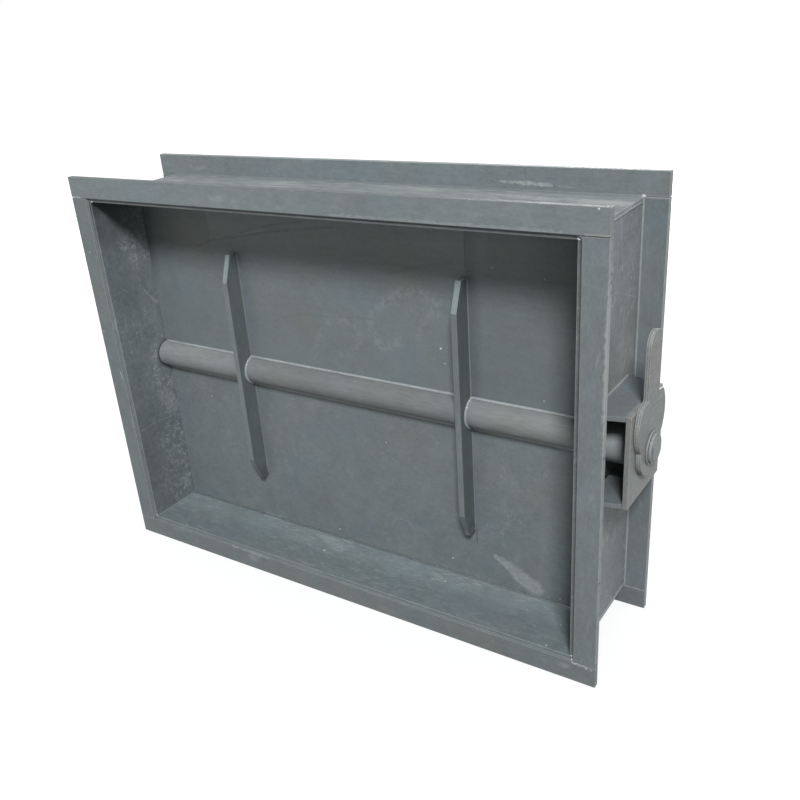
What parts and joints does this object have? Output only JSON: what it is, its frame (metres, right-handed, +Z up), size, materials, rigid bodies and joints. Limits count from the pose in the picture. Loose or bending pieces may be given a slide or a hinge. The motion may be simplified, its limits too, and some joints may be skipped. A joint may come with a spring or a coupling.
{
  "type": "rectangular manual damper",
  "caption": "Flanged rectangular duct damper with a ribbed blade on a through shaft, turned and held by a flat hand lever outside a box bracket.",
  "frame": {"origin": "centre of the whole object's box at the level of the flanges' lower edges; the duct's middle is 14.3 mm towards -X, because the lever side reaches further out", "axes": "+X towards the lever, -Y out of the front, ribbed side, +Z up"},
  "size_m": [0.7946, 0.18, 0.566],
  "materials": {
    "casing_plastic": "matte",
    "blade_plastic": "matte",
    "fitting_plastic": "matte",
    "bush_plastic": "matte"
  },
  "bodies": {
    "casing": {"wall_top": "casing_plastic", "wall_bottom": "casing_plastic", "wall_left": "casing_plastic", "wall_right": "casing_plastic", "front_flange_top": "casing_plastic", "front_flange_bottom": "casing_plastic", "front_flange_left": "casing_plastic", "front_flange_right": "casing_plastic", "rear_flange_top": "casing_plastic", "rear_flange_bottom": "casing_plastic", "rear_flange_left": "casing_plastic", "rear_flange_right": "casing_plastic", "bracket_top_plate": "fitting_plastic", "bracket_bottom_plate": "fitting_plastic", "bracket_outer_plate": "fitting_plastic", "right_bush": "fitting_plastic", "bracket_bush": "bush_plastic", "left_bush": "bush_plastic", "left_boss": "fitting_plastic", "left_cap": "fitting_plastic"},
    "blade": {"shaft": "fitting_plastic", "blade_upper": "blade_plastic", "blade_lower": "blade_plastic", "rib_left": "blade_plastic", "rib_right": "blade_plastic", "lever": "fitting_plastic", "lever_washer": "fitting_plastic", "lever_nut": "fitting_plastic"}
  },
  "joints": [
    {"name": "blade_turn", "type": "hinge", "parent": "casing", "child": "blade", "pos_m": [-0.0143, 0, 0.283], "axis": [1, 0, 0], "range_deg": [0, 90]}
  ]
}
